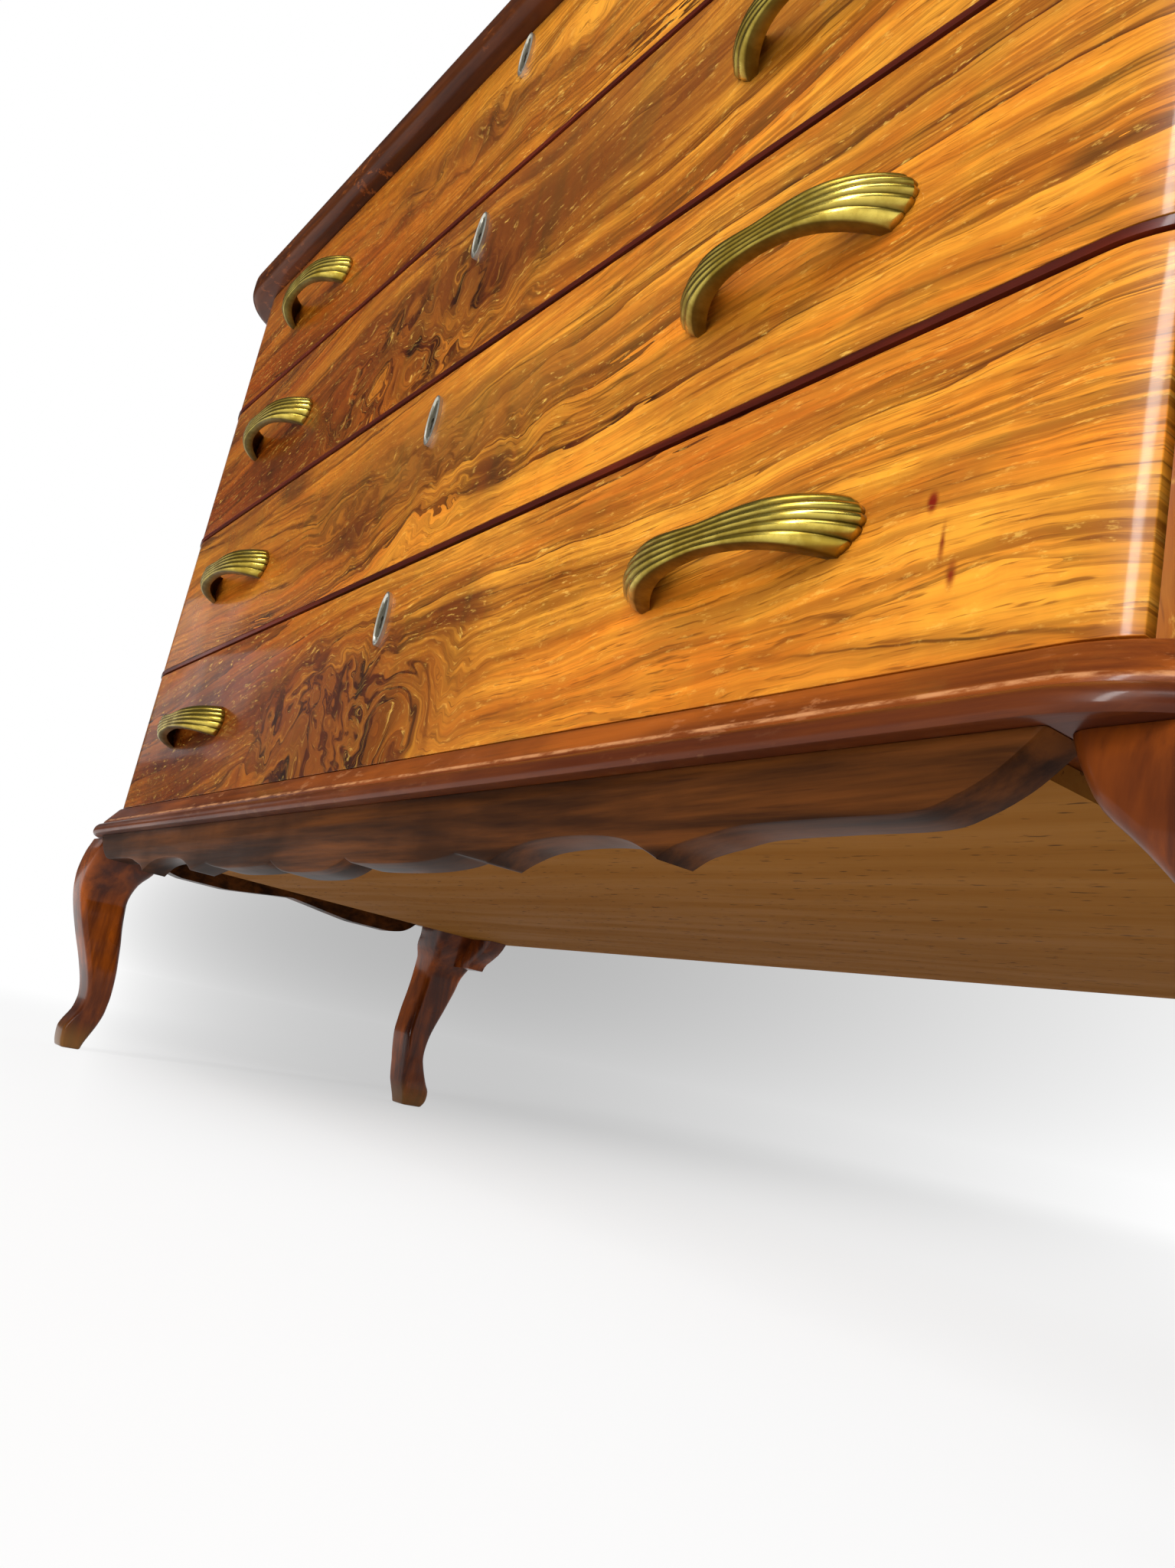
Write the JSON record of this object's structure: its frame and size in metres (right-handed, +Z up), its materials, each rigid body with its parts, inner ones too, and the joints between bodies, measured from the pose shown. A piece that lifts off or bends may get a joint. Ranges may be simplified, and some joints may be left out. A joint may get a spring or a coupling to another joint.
{
  "type": "chest of drawers",
  "caption": "Wide chest with a stack of sliding drawers, bow pulls and key plates, on cabriole legs under a moulded base and scalloped aprons.",
  "frame": {"origin": "centre of the bounding box's bottom, on the floor", "axes": "+Z up; -Y towards the user, out of the drawer fronts; +X to the right of somebody who faces the fronts"},
  "size_m": [1.2684, 0.5026, 0.9069],
  "materials": {
    "top_board": "gloss lacquer",
    "side_left": "gloss lacquer",
    "side_right": "gloss lacquer",
    "back_panel": "raw",
    "bottom_board": "raw",
    "base_moulding": "gloss lacquer",
    "apron_front": "gloss lacquer",
    "apron_left": "gloss lacquer",
    "apron_right": "gloss lacquer",
    "leg_front_left": "gloss lacquer",
    "leg_front_right": "gloss lacquer",
    "leg_back_left": "gloss lacquer",
    "leg_back_right": "gloss lacquer",
    "divider_rail_1": "gloss lacquer",
    "divider_rail_2": "gloss lacquer",
    "divider_rail_3": "gloss lacquer",
    "runner_left_1": "raw",
    "runner_left_2": "raw",
    "runner_left_3": "raw",
    "runner_left_4": "raw",
    "runner_right_1": "raw",
    "runner_right_2": "raw",
    "runner_right_3": "raw",
    "runner_right_4": "raw",
    "drawer_1_front": "gloss lacquer",
    "drawer_1_side_left": "raw",
    "drawer_1_side_right": "raw",
    "drawer_1_back": "raw",
    "drawer_1_bottom": "raw",
    "drawer_1_pull_left": "aged satin",
    "drawer_1_pull_right": "aged satin",
    "drawer_1_escutcheon": "polished, nickel colour",
    "drawer_1_lock": "dull",
    "drawer_2_front": "gloss lacquer",
    "drawer_2_side_left": "raw",
    "drawer_2_side_right": "raw",
    "drawer_2_back": "raw",
    "drawer_2_bottom": "raw",
    "drawer_2_pull_left": "aged satin",
    "drawer_2_pull_right": "aged satin",
    "drawer_2_escutcheon": "polished, nickel colour",
    "drawer_2_lock": "dull",
    "drawer_3_front": "gloss lacquer",
    "drawer_3_side_left": "raw",
    "drawer_3_side_right": "raw",
    "drawer_3_back": "raw",
    "drawer_3_bottom": "raw",
    "drawer_3_pull_left": "aged satin",
    "drawer_3_pull_right": "aged satin",
    "drawer_3_escutcheon": "polished, nickel colour",
    "drawer_3_lock": "dull",
    "drawer_4_front": "gloss lacquer",
    "drawer_4_side_left": "raw",
    "drawer_4_side_right": "raw",
    "drawer_4_back": "raw",
    "drawer_4_bottom": "raw",
    "drawer_4_pull_left": "aged satin",
    "drawer_4_pull_right": "aged satin",
    "drawer_4_escutcheon": "polished, nickel colour",
    "drawer_4_lock": "dull"
  },
  "bodies": {
    "root": {"top_board": "top_board", "side_left": "side_left", "side_right": "side_right", "back_panel": "back_panel", "bottom_board": "bottom_board", "base_moulding": "base_moulding", "apron_front": "apron_front", "apron_left": "apron_left", "apron_right": "apron_right", "leg_front_left": "leg_front_left", "leg_front_right": "leg_front_right", "leg_back_left": "leg_back_left", "leg_back_right": "leg_back_right", "divider_rail_1": "divider_rail_1", "divider_rail_2": "divider_rail_2", "divider_rail_3": "divider_rail_3", "runner_left_1": "runner_left_1", "runner_left_2": "runner_left_2", "runner_left_3": "runner_left_3", "runner_left_4": "runner_left_4", "runner_right_1": "runner_right_1", "runner_right_2": "runner_right_2", "runner_right_3": "runner_right_3", "runner_right_4": "runner_right_4"},
    "drawer_1": {"drawer_1_front": "drawer_1_front", "drawer_1_side_left": "drawer_1_side_left", "drawer_1_side_right": "drawer_1_side_right", "drawer_1_back": "drawer_1_back", "drawer_1_bottom": "drawer_1_bottom", "drawer_1_pull_left": "drawer_1_pull_left", "drawer_1_pull_right": "drawer_1_pull_right", "drawer_1_escutcheon": "drawer_1_escutcheon", "drawer_1_lock": "drawer_1_lock"},
    "drawer_2": {"drawer_2_front": "drawer_2_front", "drawer_2_side_left": "drawer_2_side_left", "drawer_2_side_right": "drawer_2_side_right", "drawer_2_back": "drawer_2_back", "drawer_2_bottom": "drawer_2_bottom", "drawer_2_pull_left": "drawer_2_pull_left", "drawer_2_pull_right": "drawer_2_pull_right", "drawer_2_escutcheon": "drawer_2_escutcheon", "drawer_2_lock": "drawer_2_lock"},
    "drawer_3": {"drawer_3_front": "drawer_3_front", "drawer_3_side_left": "drawer_3_side_left", "drawer_3_side_right": "drawer_3_side_right", "drawer_3_back": "drawer_3_back", "drawer_3_bottom": "drawer_3_bottom", "drawer_3_pull_left": "drawer_3_pull_left", "drawer_3_pull_right": "drawer_3_pull_right", "drawer_3_escutcheon": "drawer_3_escutcheon", "drawer_3_lock": "drawer_3_lock"},
    "drawer_4": {"drawer_4_front": "drawer_4_front", "drawer_4_side_left": "drawer_4_side_left", "drawer_4_side_right": "drawer_4_side_right", "drawer_4_back": "drawer_4_back", "drawer_4_bottom": "drawer_4_bottom", "drawer_4_pull_left": "drawer_4_pull_left", "drawer_4_pull_right": "drawer_4_pull_right", "drawer_4_escutcheon": "drawer_4_escutcheon", "drawer_4_lock": "drawer_4_lock"}
  },
  "joints": [
    {"name": "drawer_1_slide", "type": "slide", "parent": "root", "child": "drawer_1", "axis": [0, -1, 0], "range_m": [0, 0.33]},
    {"name": "drawer_2_slide", "type": "slide", "parent": "root", "child": "drawer_2", "axis": [0, -1, 0], "range_m": [0, 0.33]},
    {"name": "drawer_3_slide", "type": "slide", "parent": "root", "child": "drawer_3", "axis": [0, -1, 0], "range_m": [0, 0.33]},
    {"name": "drawer_4_slide", "type": "slide", "parent": "root", "child": "drawer_4", "axis": [0, -1, 0], "range_m": [0, 0.33]}
  ]
}
